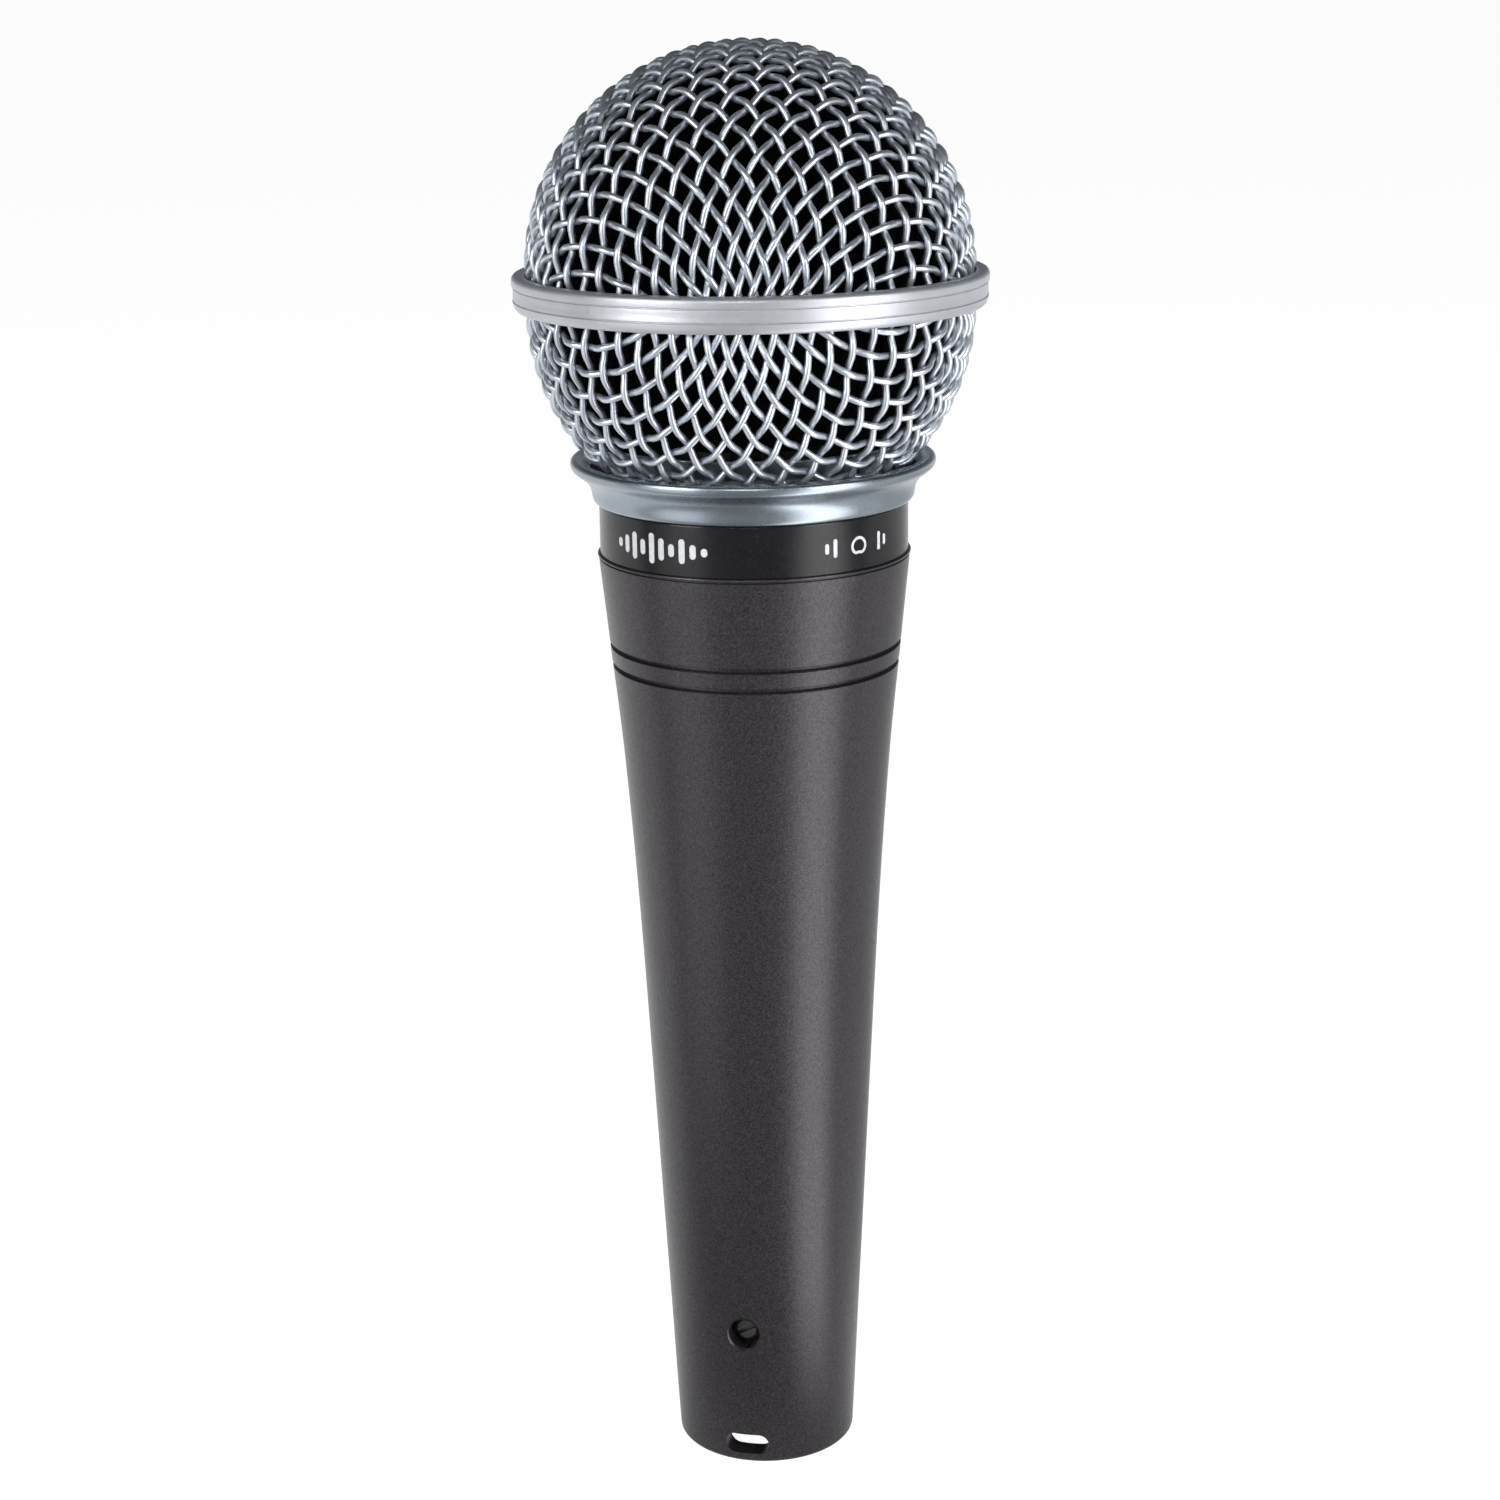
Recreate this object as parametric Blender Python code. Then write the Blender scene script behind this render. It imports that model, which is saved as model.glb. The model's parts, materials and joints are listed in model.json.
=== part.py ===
"""Handheld dynamic vocal microphone, standing on its connector end. Metres, +Z up, origin at the centre of the bottom face.

The turned pieces are swept from half cross-sections given as (radius, height) in millimetres, running round the outline.
The screw-access hole and the latch slot face -Y.
"""

import math

import bmesh
import bpy
from mathutils import Matrix, Vector

MM = 0.001
GAP = 0.3  # clearance left between neighbouring pieces, mm

# ---------------------------------------------------------------- driving dimensions, mm
HANDLE_OUTLINE = (
    # radius, height: long slender taper that flares below the head
    (10.85, 0.0),
    (11.08, 0.28),
    (11.42, 6.0),
    (12.02, 18.0),
    (12.65, 30.0),
    (13.58, 48.0),
    (14.19, 60.0),
    (14.86, 72.0),
    (15.27, 78.0),
    (15.70, 84.0),
    (16.14, 90.0),
    (16.70, 96.0),
)
GROOVE_HEIGHTS = (102.2, 104.65)
GROOVE_WIDTH = 0.7
GROOVE_DEPTH = 0.5
HANDLE_TOP = 115.3
SOCKET_RADIUS = 8.45
SOCKET_DEPTH = 14.8
NECK_RADIUS = 16.9
NECK_BORE = 14.3
NECK_TOP = 125.4
BAND_RADIUS = 18.45
BAND_TOP = 121.2
THREAD_PITCH = 1.25

MESH_RADIUS = 26.5  # outside of the wire cloth
MESH_THICK = 1.6  # two wires thick at each crossing
CUP_CENTRE = 144.8
DOME_CENTRE = 148.9
RING_RADIUS = 28.0
SKIRT_RADIUS = 19.1

FOAM_OUTER = 24.55
FOAM_INNER = 21.5

HOLE_HEIGHT = 18.0
HOLE_RADIUS = 1.95
SLOT_HEIGHT = 2.62
SLOT_WIDTH = 5.6
SLOT_TALL = 2.7

PIN_RADIUS = 1.19
PIN_SPOTS = ((3.8, -1.4), (-3.8, -1.4), (0.0, 4.05))

ROUND = 36  # facets on the big turned pieces
INNER = 20  # facets on the pieces inside the head
SMALL = 16  # facets on the small ones

# ---------------------------------------------------------------- materials
MATERIALS = {}


def material(name, colour, roughness, metallic):
    if name not in MATERIALS:
        made = bpy.data.materials.new(name)
        made.use_nodes = True
        shader = made.node_tree.nodes["Principled BSDF"]
        shader.inputs["Base Color"].default_value = (*colour, 1.0)
        shader.inputs["Roughness"].default_value = roughness
        shader.inputs["Metallic"].default_value = metallic
        made.diffuse_color = (*colour, 1.0)
        MATERIALS[name] = made
    return MATERIALS[name]


def clear():
    for old in list(bpy.data.objects):
        bpy.data.objects.remove(old, do_unlink=True)


# ---------------------------------------------------------------- modelling helpers
def finish(bm, name, made_of, smooth=True):
    bmesh.ops.remove_doubles(bm, verts=bm.verts, dist=1e-7)
    bmesh.ops.dissolve_degenerate(bm, dist=1e-8, edges=bm.edges)
    bmesh.ops.recalc_face_normals(bm, faces=bm.faces)
    mesh = bpy.data.meshes.new(name)
    bm.to_mesh(mesh)
    bm.free()
    mesh.materials.append(made_of)
    if smooth:
        for face in mesh.polygons:
            face.use_smooth = True
    obj = bpy.data.objects.new(name, mesh)
    bpy.context.scene.collection.objects.link(obj)
    return obj


def turned(name, outline, made_of, facets=ROUND, centre=(0.0, 0.0, 0.0)):
    """A closed outline of (radius, height) in mm, spun a full turn about the vertical through centre."""
    bm = bmesh.new()
    cx, cy, cz = centre
    verts = [
        bm.verts.new(((r + cx) * MM, cy * MM, (z + cz) * MM)) for r, z in outline
    ]
    edges = [bm.edges.new((verts[i], verts[i + 1])) for i in range(len(verts) - 1)]
    if outline[0][0] > 1e-6 or outline[-1][0] > 1e-6:
        edges.append(bm.edges.new((verts[-1], verts[0])))
    bmesh.ops.spin(
        bm,
        geom=verts + edges,
        cent=(cx * MM, cy * MM, 0.0),
        axis=(0.0, 0.0, 1.0),
        angle=2.0 * math.pi,
        steps=facets,
        use_merge=True,
        use_duplicate=False,
    )
    return finish(bm, name, made_of)


def block(name, size, centre, made_of=None):
    bm = bmesh.new()
    bmesh.ops.create_cube(bm, size=1.0)
    bmesh.ops.scale(bm, vec=Vector(size) * MM, verts=bm.verts)
    bmesh.ops.translate(bm, vec=Vector(centre) * MM, verts=bm.verts)
    return finish(bm, name, made_of or material("cutter", (1, 0, 0), 0.5, 0), False)


def rod(name, radius, start, end, made_of=None, facets=SMALL):
    """A plain cylinder between two points, mm."""
    a, b = Vector(start) * MM, Vector(end) * MM
    axis = b - a
    bm = bmesh.new()
    bmesh.ops.create_cone(
        bm,
        cap_ends=True,
        segments=facets,
        radius1=radius * MM,
        radius2=radius * MM,
        depth=axis.length,
    )
    turn = Vector((0, 0, 1)).rotation_difference(axis.normalized()).to_matrix().to_4x4()
    bmesh.ops.transform(bm, matrix=Matrix.Translation((a + b) / 2) @ turn, verts=bm.verts)
    return finish(bm, name, made_of or material("cutter", (1, 0, 0), 0.5, 0))


def boolean(target, cutter, operation="DIFFERENCE"):
    step = target.modifiers.new(cutter.name, "BOOLEAN")
    step.operation = operation
    step.solver = "EXACT"
    step.object = cutter
    cutter.hide_render = True
    cutter.display_type = "WIRE"


def bevelled(obj, width, segments=2, angle=40.0):
    step = obj.modifiers.new("edge", "BEVEL")
    step.width = width * MM
    step.segments = segments
    step.limit_method = "ANGLE"
    step.angle_limit = math.radians(angle)


def wire(name, points, radius, made_of):
    """An insulated lead: a smooth curve through points in mm, with closed ends."""
    curve = bpy.data.curves.new(name, "CURVE")
    curve.dimensions = "3D"
    curve.resolution_u = 4
    curve.bevel_depth = radius * MM
    curve.bevel_resolution = 1
    curve.use_fill_caps = True
    spline = curve.splines.new("BEZIER")
    spline.bezier_points.add(len(points) - 1)
    for knot, at in zip(spline.bezier_points, points):
        knot.co = Vector(at) * MM
        knot.handle_left_type = knot.handle_right_type = "AUTO"
    curve.materials.append(made_of)
    obj = bpy.data.objects.new(name, curve)
    bpy.context.scene.collection.objects.link(obj)
    return obj


def sphere_arc(radius, centre, low, high, steps):
    """Points on a sphere centred on the axis, from height low to height high."""
    a0 = math.asin(max(-1.0, min(1.0, (low - centre) / radius)))
    a1 = math.asin(max(-1.0, min(1.0, (high - centre) / radius)))
    points = []
    for i in range(steps + 1):
        a = a0 + (a1 - a0) * i / steps
        r = radius * math.cos(a)
        points.append((0.0 if r < 1e-3 else r, centre + radius * math.sin(a)))
    return points


clear()

ENAMEL = material("dark_enamel", (0.062, 0.055, 0.060), 0.42, 0.35)
BAND = material("band_black", (0.018, 0.018, 0.022), 0.35, 0.0)
SILVER = material("silver_paint", (0.46, 0.48, 0.51), 0.38, 0.7)
WIRE_CLOTH = material("wire_cloth", (0.42, 0.43, 0.45), 0.35, 0.9)
FOAM = material("foam_black", (0.012, 0.012, 0.013), 0.95, 0.0)
ALUMINIUM = material("aluminium", (0.55, 0.56, 0.57), 0.35, 0.95)
BLACK_PLASTIC = material("black_plastic", (0.02, 0.02, 0.022), 0.5, 0.0)
RUBBER = material("black_rubber", (0.015, 0.015, 0.015), 0.8, 0.0)
CLOTH = material("port_cloth", (0.06, 0.06, 0.07), 0.9, 0.0)
FILM = material("polyester_film", (0.75, 0.72, 0.62), 0.2, 0.0)
COPPER = material("copper_wire", (0.55, 0.23, 0.10), 0.35, 0.9)
STEEL = material("plated_steel", (0.45, 0.45, 0.46), 0.35, 0.95)
MAGNET = material("sintered_magnet", (0.22, 0.22, 0.23), 0.35, 0.85)
LAMINATION = material("laminated_steel", (0.12, 0.12, 0.13), 0.5, 0.8)
GREEN_BOARD = material("terminal_board", (0.35, 0.24, 0.10), 0.6, 0.0)
PIN_METAL = material("silver_plate", (0.62, 0.62, 0.60), 0.25, 1.0)
WIRE_RED = material("wire_red", (0.45, 0.03, 0.03), 0.45, 0.0)
WIRE_GREEN = material("wire_green", (0.03, 0.25, 0.06), 0.45, 0.0)
WIRE_YELLOW = material("wire_yellow", (0.60, 0.45, 0.05), 0.45, 0.0)
WIRE_BLACK = material("wire_black", (0.02, 0.02, 0.02), 0.45, 0.0)

# ================================================================ handle
outline = list(HANDLE_OUTLINE)


def handle_radius(z):
    table = outline_full
    for (r0, z0), (r1, z1) in zip(table, table[1:]):
        if z0 <= z <= z1:
            return r0 + (r1 - r0) * (z - z0) / (z1 - z0)
    return table[-1][0]


outline_full = list(HANDLE_OUTLINE) + [(17.24, 102.0), (17.92, 108.0), (18.66, 115.0)]
for height in GROOVE_HEIGHTS:
    half = GROOVE_WIDTH / 2
    outline.append((handle_radius(height - half), height - half))
    outline.append((handle_radius(height) - GROOVE_DEPTH, height - half + 0.1))
    outline.append((handle_radius(height) - GROOVE_DEPTH, height + half - 0.1))
    outline.append((handle_radius(height + half), height + half))
outline += [(17.92, 108.0), (18.60, 114.6), (18.55, HANDLE_TOP - 0.2), (18.35, HANDLE_TOP)]
# counterbore for the neck, then the tapering cavity, the stop for the insert and the socket
outline += [
    (16.0, HANDLE_TOP),
    (16.0, 106.0),
    (14.9, 106.0),
    (14.5, 98.0),
    (13.2, 84.0),
    (11.95, 60.0),
    (10.3, 30.0),
    (7.6, 26.4),
    (7.6, 24.8),
    (SOCKET_RADIUS, 24.8),
    (SOCKET_RADIUS, 0.45),
    (8.85, 0.0),
]
handle = turned("handle_shell", outline, ENAMEL)
boolean(handle, rod("cut_screw_hole", HOLE_RADIUS, (0, -14, HOLE_HEIGHT), (0, -6, HOLE_HEIGHT)))
slot = block("cut_slot_mid", (SLOT_WIDTH - SLOT_TALL, 8, SLOT_TALL), (0, -10, SLOT_HEIGHT))
side = (SLOT_WIDTH - SLOT_TALL) / 2
boolean(slot, rod("cut_slot_left", SLOT_TALL / 2, (-side, -14, SLOT_HEIGHT), (-side, -6, SLOT_HEIGHT)), "UNION")
boolean(slot, rod("cut_slot_right", SLOT_TALL / 2, (side, -14, SLOT_HEIGHT), (side, -6, SLOT_HEIGHT)), "UNION")
boolean(handle, slot)

# threaded neck pressed into the top of the handle
turned(
    "thread_neck",
    [
        (NECK_RADIUS - 0.3, NECK_TOP),
        (NECK_RADIUS, NECK_TOP - 0.3),
        (NECK_RADIUS, HANDLE_TOP + GAP),
        (15.7, HANDLE_TOP + GAP),
        (15.7, 106.3),
        (NECK_BORE, 106.3),
        (NECK_BORE, NECK_TOP),
    ],
    ALUMINIUM,
)

# plain band between handle and head
turned(
    "label_band",
    [
        (BAND_RADIUS - 0.1, BAND_TOP),
        (BAND_RADIUS, BAND_TOP - 0.1),
        (BAND_RADIUS, HANDLE_TOP + GAP + 0.1),
        (BAND_RADIUS - 0.1, HANDLE_TOP + GAP),
        (NECK_RADIUS + GAP, HANDLE_TOP + GAP),
        (NECK_RADIUS + GAP, BAND_TOP),
    ],
    BAND,
)

# ================================================================ head
turned(
    "grille_collar",
    [
        (18.3, BAND_TOP + GAP),
        (18.75, 121.75),
        (18.98, 122.2),
        (19.05, 122.8),
        (19.25, 123.5),
        (19.65, 124.2),
        (20.3, 124.9),
        (21.1, 125.45),
        (21.55, 125.85),
        (21.7, 126.4),
        (21.6, 126.85),
        (21.25, 127.15),
        (20.85, 127.1),
        (20.3, 126.5),
        (19.4, 126.2),
        (19.4, 124.3),
        (17.2, 124.3),
        (17.2, BAND_TOP + GAP),
    ],
    SILVER,
)

cup_low = CUP_CENTRE - math.sqrt(MESH_RADIUS**2 - SKIRT_RADIUS**2)
inner = MESH_RADIUS - MESH_THICK
cup_low_inner = CUP_CENTRE - math.sqrt(inner**2 - (SKIRT_RADIUS - MESH_THICK) ** 2)
turned(
    "grille_cup_mesh",
    [(SKIRT_RADIUS, 124.6)]
    + sphere_arc(MESH_RADIUS, CUP_CENTRE, cup_low, CUP_CENTRE, 6)
    + [(MESH_RADIUS, 146.1), (inner, 146.1)]
    + sphere_arc(inner, CUP_CENTRE, CUP_CENTRE, cup_low_inner, 5)
    + [(SKIRT_RADIUS - MESH_THICK, 124.6)],
    WIRE_CLOTH,
)
turned(
    "grille_ring",
    [
        (26.8, 144.75),
        (27.5, 144.75),
        (27.85, 145.2),
        (27.95, 145.95),
        (27.72, 146.02),
        (27.66, 146.75),
        (27.72, 147.5),
        (RING_RADIUS, 147.58),
        (RING_RADIUS, 148.45),
        (27.75, 148.9),
        (26.8, 148.9),
        (26.8, 147.3),
        (24.95, 147.3),
        (24.95, 146.4),
        (26.8, 146.4),
    ],
    SILVER,
)
turned(
    "grille_dome_mesh",
    [(inner, 147.6), (MESH_RADIUS, 147.6)]
    + sphere_arc(MESH_RADIUS, DOME_CENTRE, DOME_CENTRE, DOME_CENTRE + MESH_RADIUS, 8)
    + sphere_arc(inner, DOME_CENTRE, DOME_CENTRE + inner, DOME_CENTRE, 7),
    WIRE_CLOTH,
)
turned(
    "grille_retainer",
    [
        (17.2, 125.8),
        (17.0, 126.95),
        (19.2, 129.7),
        (18.75, 129.95),
        (16.6, 127.2),
        (16.7, 125.8),
    ],
    ALUMINIUM,
    INNER,
)

# foam ball lining the grille
foam_low = 130.6
turned(
    "foam_windscreen",
    sphere_arc(FOAM_OUTER, CUP_CENTRE, foam_low, CUP_CENTRE, 4)
    + sphere_arc(FOAM_OUTER, DOME_CENTRE, DOME_CENTRE, DOME_CENTRE + FOAM_OUTER, 6)
    + sphere_arc(FOAM_INNER, DOME_CENTRE, DOME_CENTRE + FOAM_INNER, DOME_CENTRE, 5)
    + sphere_arc(FOAM_INNER, CUP_CENTRE, CUP_CENTRE, foam_low, 3),
    FOAM,
    INNER,
)

# ================================================================ cartridge
housing = turned(
    "capsule_housing",
    [
        (13.6, 150.6),
        (13.6, 131.2),
        (13.1, 130.4),
        (11.9, 130.4),
        (11.9, 131.2),
        (12.9, 131.2),
        (12.9, 150.6),
    ],
    ALUMINIUM,
    INNER,
)
for k in range(4):
    turn = math.radians(45.0 * k)
    port = block("cut_port_%d" % k, (30.0, 4.0, 3.0), (0, 0, 133.9 + 3.6))
    port.rotation_euler = (0.0, 0.0, turn)
    boolean(housing, port)

turned(
    "rear_port_cloth",
    [(14.3, 139.9), (14.3, 135.1), (13.9, 135.1), (13.9, 139.9)],
    CLOTH,
    INNER,
)

cap = turned(
    "front_cap",
    [
        (0.0, 153.6),
        (10.5, 153.4),
        (12.9, 152.8),
        (13.6, 152.0),
        (13.6, 150.9),
        (12.5, 150.9),
        (12.5, 151.7),
        (0.0, 152.5),
    ],
    BLACK_PLASTIC,
    INNER,
)
for k in range(6):
    a = math.radians(60.0 * k)
    x, y = 7.4 * math.cos(a), 7.4 * math.sin(a)
    boolean(cap, rod("cut_cap_%d" % k, 1.9, (x, y, 150), (x, y, 156), facets=12))
boolean(cap, rod("cut_cap_mid", 1.9, (0, 0, 150), (0, 0, 156), facets=12))

turned("front_screen", [(0.0, 151.2), (12.1, 151.2), (12.1, 150.9), (0.0, 150.9)], CLOTH, INNER)
turned(
    "diaphragm_clamp",
    [(12.6, 149.9), (12.6, 149.0), (11.2, 149.0), (11.2, 149.9)],
    BLACK_PLASTIC,
    INNER,
)
turned(
    "diaphragm",
    [
        (0.0, 150.15),
        (3.0, 149.95),
        (5.6, 149.35),
        (7.7, 148.5),
        (8.6, 148.75),
        (9.6, 148.95),
        (10.4, 148.72),
        (10.9, 148.55),
        (10.9, 148.4),
        (10.35, 148.57),
        (9.6, 148.8),
        (8.65, 148.6),
        (7.7, 148.35),
        (5.55, 149.2),
        (3.0, 149.8),
        (0.0, 150.0),
    ],
    FILM,
    INNER,
)
turned("voice_coil", [(8.05, 148.1), (8.05, 145.1), (7.6, 145.1), (7.6, 148.1)], COPPER, INNER)
turned(
    "diaphragm_basket",
    [(12.6, 148.7), (12.6, 146.9), (8.9, 146.9), (8.9, 147.5), (11.2, 148.0), (11.2, 148.7)],
    BLACK_PLASTIC,
    INNER,
)
turned("pole_plate", [(12.5, 146.6), (12.5, 144.6), (8.4, 144.6), (8.4, 146.6)], STEEL, INNER)
turned("centre_pole", [(0.0, 146.6), (7.25, 146.6), (7.25, 144.6), (0.0, 144.6)], STEEL, SMALL)
turned("magnet", [(0.0, 144.3), (6.9, 144.3), (6.9, 138.6), (0.0, 138.6)], MAGNET, SMALL)
turned(
    "yoke_cup",
    [
        (12.5, 144.3),
        (12.5, 139.9),
        (11.6, 138.9),
        (11.6, 136.6),
        (3.0, 136.6),
        (3.0, 138.3),
        (10.4, 138.3),
        (10.4, 144.3),
    ],
    STEEL,
    INNER,
)
turned("damping_felt", [(0.0, 136.3), (9.0, 136.3), (9.0, 134.9), (0.0, 134.9)], CLOTH, SMALL)
turned(
    "rear_chamber",
    [
        (12.6, 134.6),
        (12.6, 131.5),
        (11.6, 131.5),
        (11.6, 111.0),
        (10.6, 110.0),
        (0.0, 110.0),
        (0.0, 111.0),
        (10.5, 111.0),
        (10.5, 133.6),
        (9.4, 133.9),
        (9.4, 134.6),
    ],
    BLACK_PLASTIC,
    INNER,
)
turned(
    "shock_mount",
    [
        (15.8, 127.4),
        (15.8, 125.7),
        (14.0, 125.7),
        (14.0, 117.6),
        (13.4, 117.0),
        (12.7, 117.6),
        (12.7, 122.0),
        (11.9, 123.0),
        (11.9, 127.8),
        (13.0, 128.2),
    ],
    RUBBER,
    INNER,
)
turned("terminal_board", [(0.0, 109.7), (9.0, 109.7), (9.0, 108.3), (0.0, 108.3)], GREEN_BOARD, SMALL)
for name, x in (("terminal_a", 4.5), ("terminal_b", -4.5)):
    lug = block(name, (2.4, 0.5, 4.2), (x, 0.0, 105.9), PIN_METAL)
    bevelled(lug, 0.12, 1)

# ================================================================ transformer and leads
CORE_Z = 66.0
core = block("transformer_core", (15.0, 12.0, 16.0), (0, 0, CORE_Z), LAMINATION)
for k, x in enumerate((-3.75, 3.75)):
    boolean(core, block("cut_window_%d" % k, (3.5, 14.0, 10.0), (x, 0, CORE_Z)))
coil = block("transformer_coil", (10.3, 17.6, 9.3), (0, 0, CORE_Z), COPPER)
bevelled(coil, 1.0, 2)
boolean(coil, block("cut_coil", (4.6, 12.6, 12.0), (0, 0, CORE_Z)))
cradle = turned(
    "transformer_cradle",
    [
        (11.95, 78.5),
        (11.45, 56.0),
        (11.2, 53.5),
        (0.0, 53.5),
        (0.0, 78.5),
    ],
    RUBBER,
    INNER,
)
boolean(cradle, block("cut_cradle_core", (15.6, 12.6, 40.0), (0, 0, 77.7)))
boolean(cradle, block("cut_cradle_coil", (10.9, 18.2, 40.0), (0, 0, 77.7)))
boolean(cradle, block("cut_cradle_leads", (9.0, 18.2, 12.0), (0, 0, 54.0)))

wire("lead_wire_a", ((4.5, 0, 103.4), (5.0, 1.2, 97.0), (3.2, 6.2, 86.0), (2.6, 7.7, 77.0), (2.6, 7.7, 71.2)), 0.45, WIRE_GREEN)
wire("lead_wire_b", ((-4.5, 0, 103.4), (-5.0, 1.2, 97.0), (-3.2, 6.2, 86.0), (-2.6, 7.7, 77.0), (-2.6, 7.7, 71.2)), 0.45, WIRE_BLACK)
wire("output_wire_2", ((-2.6, -7.7, 60.8), (-2.6, -7.7, 54.0), (-3.6, -5.0, 42.0), (-3.8, -1.4, 33.0), (-3.8, -1.4, 29.2)), 0.45, WIRE_RED)
wire("output_wire_3", ((2.6, 7.7, 60.8), (2.6, 7.7, 54.0), (1.0, 6.5, 42.0), (0.0, 4.05, 33.0), (0.0, 4.05, 29.2)), 0.45, WIRE_YELLOW)
wire("output_wire_1", ((2.6, -7.7, 60.8), (2.6, -7.7, 54.0), (3.8, -4.6, 42.0), (3.8, -1.4, 33.0), (3.8, -1.4, 29.2)), 0.45, WIRE_BLACK)

# ================================================================ connector
insert = turned(
    "connector_insert",
    [
        (0.0, 24.4),
        (8.15, 24.4),
        (8.15, SOCKET_DEPTH + 0.3),
        (7.85, SOCKET_DEPTH),
        (0.0, SOCKET_DEPTH),
    ],
    BLACK_PLASTIC,
    INNER,
)
for k, (x, y) in enumerate(PIN_SPOTS):
    boolean(insert, rod("cut_pin_%d" % k, PIN_RADIUS + 0.1, (x, y, 10), (x, y, 30), facets=16))
boolean(insert, rod("cut_screw_seat", 1.75, (0, -12.0, HOLE_HEIGHT), (0, -6.6, HOLE_HEIGHT), facets=16))
boolean(insert, rod("cut_screw_thread", 1.4, (0, -12.0, HOLE_HEIGHT), (0, -2.2, HOLE_HEIGHT), facets=16))

for k, (x, y) in enumerate(PIN_SPOTS):
    turned(
        "pin_%d" % (k + 1),
        [
            (0.0, 2.6),
            (0.75, 2.75),
            (PIN_RADIUS, 3.5),
            (PIN_RADIUS, 24.7),
            (1.45, 24.8),
            (1.45, 28.6),
            (0.85, 28.6),
            (0.85, 26.2),
            (0.0, 26.2),
        ],
        PIN_METAL,
        16,
        (x, y, 0.0),
    )

screw = rod("connector_screw", 1.2, (0, -9.3, HOLE_HEIGHT), (0, -2.9, HOLE_HEIGHT), STEEL, 16)
boolean(screw, rod("add_screw_head", 1.62, (0, -10.1, HOLE_HEIGHT), (0, -6.95, HOLE_HEIGHT), facets=16), "UNION")
boolean(screw, block("cut_driver_slot", (0.55, 1.6, 4.0), (0, -10.2, HOLE_HEIGHT)))

tab = block("ground_tab", (3.0, 0.35, 4.0), (5.55, 1.9, 26.7), PIN_METAL)
boolean(tab, block("add_tab_foot", (3.0, 1.0, 0.35), (5.55, 2.2, 24.9)), "UNION")
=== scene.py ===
"""Looks of the handheld dynamic microphone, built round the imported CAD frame. Metres, +Z up."""

import json
import math

import bmesh
import bpy
import numpy as np
from mathutils import Matrix, Vector, noise


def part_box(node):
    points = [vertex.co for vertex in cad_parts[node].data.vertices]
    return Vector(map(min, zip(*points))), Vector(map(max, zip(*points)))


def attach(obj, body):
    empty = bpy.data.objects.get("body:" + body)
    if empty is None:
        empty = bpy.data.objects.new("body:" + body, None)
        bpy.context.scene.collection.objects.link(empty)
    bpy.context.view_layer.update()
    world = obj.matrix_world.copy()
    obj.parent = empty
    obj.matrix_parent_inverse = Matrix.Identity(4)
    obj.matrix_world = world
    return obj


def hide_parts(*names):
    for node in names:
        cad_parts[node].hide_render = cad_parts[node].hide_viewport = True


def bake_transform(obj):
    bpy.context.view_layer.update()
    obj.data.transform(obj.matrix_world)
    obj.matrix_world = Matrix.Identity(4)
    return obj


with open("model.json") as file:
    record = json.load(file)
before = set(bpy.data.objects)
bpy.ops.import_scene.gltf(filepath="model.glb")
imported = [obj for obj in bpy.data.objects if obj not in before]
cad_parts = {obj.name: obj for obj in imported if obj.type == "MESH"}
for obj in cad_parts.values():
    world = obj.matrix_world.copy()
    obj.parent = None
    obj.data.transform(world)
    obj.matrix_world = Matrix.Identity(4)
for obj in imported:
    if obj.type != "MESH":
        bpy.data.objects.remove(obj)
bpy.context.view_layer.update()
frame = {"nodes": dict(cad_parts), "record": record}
MM = 0.001
FACING = math.radians(13.5)  # the viewer stands this far round from -Y towards +X
FLOOR_FRONT, FLOOR_NEAR, FLOOR_EDGE = 0.08, 0.90, -0.035  # glow of the white floor before and round the microphone
POOL_RIGHT, POOL_LEFT = 3.4, 1.0
WORLD_FRONT, WORLD_BACK = 0.30, 0.52

scene = bpy.context.scene
scene.view_settings.view_transform = "Standard"
scene.view_settings.look = "None"
scene.view_settings.exposure = 0.0
scene.view_settings.gamma = 1.0


def top(node):
    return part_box(node)[1][2] / MM


def bottom(node):
    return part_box(node)[0][2] / MM


def reach(node):
    """Largest radius of a round node, mm."""
    low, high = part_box(node)
    return max(abs(low[0]), abs(high[0])) / MM


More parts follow.
